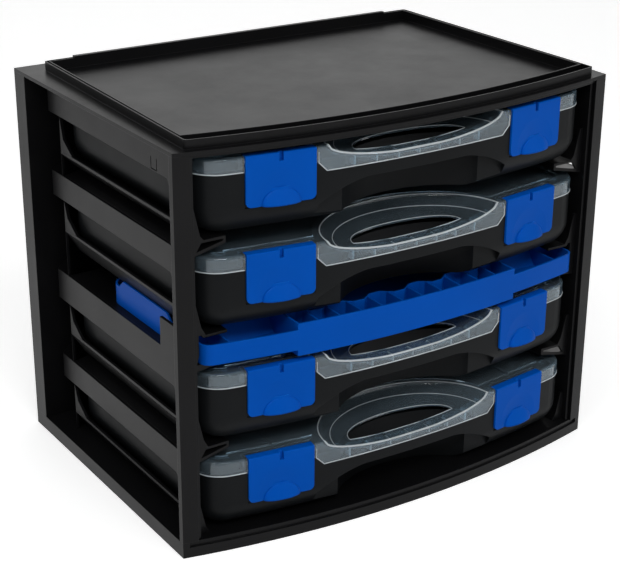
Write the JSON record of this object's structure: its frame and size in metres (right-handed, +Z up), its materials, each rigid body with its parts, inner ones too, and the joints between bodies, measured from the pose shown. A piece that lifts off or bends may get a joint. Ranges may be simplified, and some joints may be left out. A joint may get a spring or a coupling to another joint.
{
  "type": "storage cabinet",
  "caption": "Open cabinet with a bowed front that carries shallow cases with clear lids, carry handles and latches, above and below a sorting tray.",
  "frame": {"origin": "centre of the cabinet's outline at the level it stands on", "axes": "+X to the right seen from the front, -Y out of the bowed front, +Z up"},
  "size_m": [0.376, 0.276, 0.313],
  "materials": {
    "cabinet_black": "satin moulded",
    "case_black": "satin moulded",
    "lid_clear": "clear, lightly frosted",
    "accent_blue": "satin moulded",
    "pin_black": "moulded"
  },
  "bodies": {
    "cabinet": {"top_panel": "cabinet_black", "bottom_panel": "cabinet_black", "left_side_panel": "cabinet_black", "right_side_panel": "cabinet_black", "back_panel": "cabinet_black", "left_runner_1": "cabinet_black", "right_runner_1": "cabinet_black", "left_runner_2": "cabinet_black", "right_runner_2": "cabinet_black", "left_runner_3": "cabinet_black", "right_runner_3": "cabinet_black", "left_runner_4": "cabinet_black", "right_runner_4": "cabinet_black"},
    "sorting_tray": {"sorting_tray": "accent_blue"},
    "case1_base": {"case1_base": "case_black", "case1_hinge_pins": "pin_black"},
    "case1_lid": {"case1_lid": "lid_clear", "case1_latch_pins": "pin_black"},
    "case1_left_latch": {"case1_left_latch": "accent_blue"},
    "case1_right_latch": {"case1_right_latch": "accent_blue"},
    "case2_base": {"case2_base": "case_black", "case2_hinge_pins": "pin_black"},
    "case2_lid": {"case2_lid": "lid_clear", "case2_latch_pins": "pin_black"},
    "case2_left_latch": {"case2_left_latch": "accent_blue"},
    "case2_right_latch": {"case2_right_latch": "accent_blue"},
    "case3_base": {"case3_base": "case_black", "case3_hinge_pins": "pin_black"},
    "case3_lid": {"case3_lid": "lid_clear", "case3_latch_pins": "pin_black"},
    "case3_left_latch": {"case3_left_latch": "accent_blue"},
    "case3_right_latch": {"case3_right_latch": "accent_blue"},
    "case4_base": {"case4_base": "case_black", "case4_hinge_pins": "pin_black"},
    "case4_lid": {"case4_lid": "lid_clear", "case4_latch_pins": "pin_black"},
    "case4_left_latch": {"case4_left_latch": "accent_blue"},
    "case4_right_latch": {"case4_right_latch": "accent_blue"}
  },
  "joints": [
    {"name": "tray_slide", "type": "slide", "parent": "cabinet", "child": "sorting_tray", "axis": [0, -1, 0], "range_m": [0, 0.2]},
    {"name": "case1_slide", "type": "slide", "parent": "cabinet", "child": "case1_base", "axis": [0, -1, 0], "range_m": [0, 0.26]},
    {"name": "case1_lid_hinge", "type": "hinge", "parent": "case1_base", "child": "case1_lid", "pos_m": [0, 0.0933, 0.2797], "axis": [-1, 0, 0], "range_deg": [0, 0.6]},
    {"name": "case1_left_latch_hinge", "type": "hinge", "parent": "case1_lid", "child": "case1_left_latch", "pos_m": [-0.11048, -0.12229, 0.2918], "axis": [-0.9906, 0.137, 0], "range_deg": [0, 85]},
    {"name": "case1_right_latch_hinge", "type": "hinge", "parent": "case1_lid", "child": "case1_right_latch", "pos_m": [0.11048, -0.12229, 0.2918], "axis": [-0.9906, -0.137, 0], "range_deg": [0, 85]},
    {"name": "case2_slide", "type": "slide", "parent": "cabinet", "child": "case2_base", "axis": [0, -1, 0], "range_m": [0, 0.26]},
    {"name": "case2_lid_hinge", "type": "hinge", "parent": "case2_base", "child": "case2_lid", "pos_m": [0, 0.0933, 0.2099], "axis": [-1, 0, 0], "range_deg": [0, 0.6]},
    {"name": "case2_left_latch_hinge", "type": "hinge", "parent": "case2_lid", "child": "case2_left_latch", "pos_m": [-0.11048, -0.12229, 0.222], "axis": [-0.9906, 0.137, 0], "range_deg": [0, 85]},
    {"name": "case2_right_latch_hinge", "type": "hinge", "parent": "case2_lid", "child": "case2_right_latch", "pos_m": [0.11048, -0.12229, 0.222], "axis": [-0.9906, -0.137, 0], "range_deg": [0, 85]},
    {"name": "case3_slide", "type": "slide", "parent": "cabinet", "child": "case3_base", "axis": [0, -1, 0], "range_m": [0, 0.26]},
    {"name": "case3_lid_hinge", "type": "hinge", "parent": "case3_base", "child": "case3_lid", "pos_m": [0, 0.0933, 0.1228], "axis": [-1, 0, 0], "range_deg": [0, 0.6]},
    {"name": "case3_left_latch_hinge", "type": "hinge", "parent": "case3_lid", "child": "case3_left_latch", "pos_m": [-0.11048, -0.12229, 0.1349], "axis": [-0.9906, 0.137, 0], "range_deg": [0, 85]},
    {"name": "case3_right_latch_hinge", "type": "hinge", "parent": "case3_lid", "child": "case3_right_latch", "pos_m": [0.11048, -0.12229, 0.1349], "axis": [-0.9906, -0.137, 0], "range_deg": [0, 85]},
    {"name": "case4_slide", "type": "slide", "parent": "cabinet", "child": "case4_base", "axis": [0, -1, 0], "range_m": [0, 0.26]},
    {"name": "case4_lid_hinge", "type": "hinge", "parent": "case4_base", "child": "case4_lid", "pos_m": [0, 0.0933, 0.053], "axis": [-1, 0, 0], "range_deg": [0, 0.6]},
    {"name": "case4_left_latch_hinge", "type": "hinge", "parent": "case4_lid", "child": "case4_left_latch", "pos_m": [-0.11048, -0.12229, 0.0651], "axis": [-0.9906, 0.137, 0], "range_deg": [0, 85]},
    {"name": "case4_right_latch_hinge", "type": "hinge", "parent": "case4_lid", "child": "case4_right_latch", "pos_m": [0.11048, -0.12229, 0.0651], "axis": [-0.9906, -0.137, 0], "range_deg": [0, 85]}
  ]
}
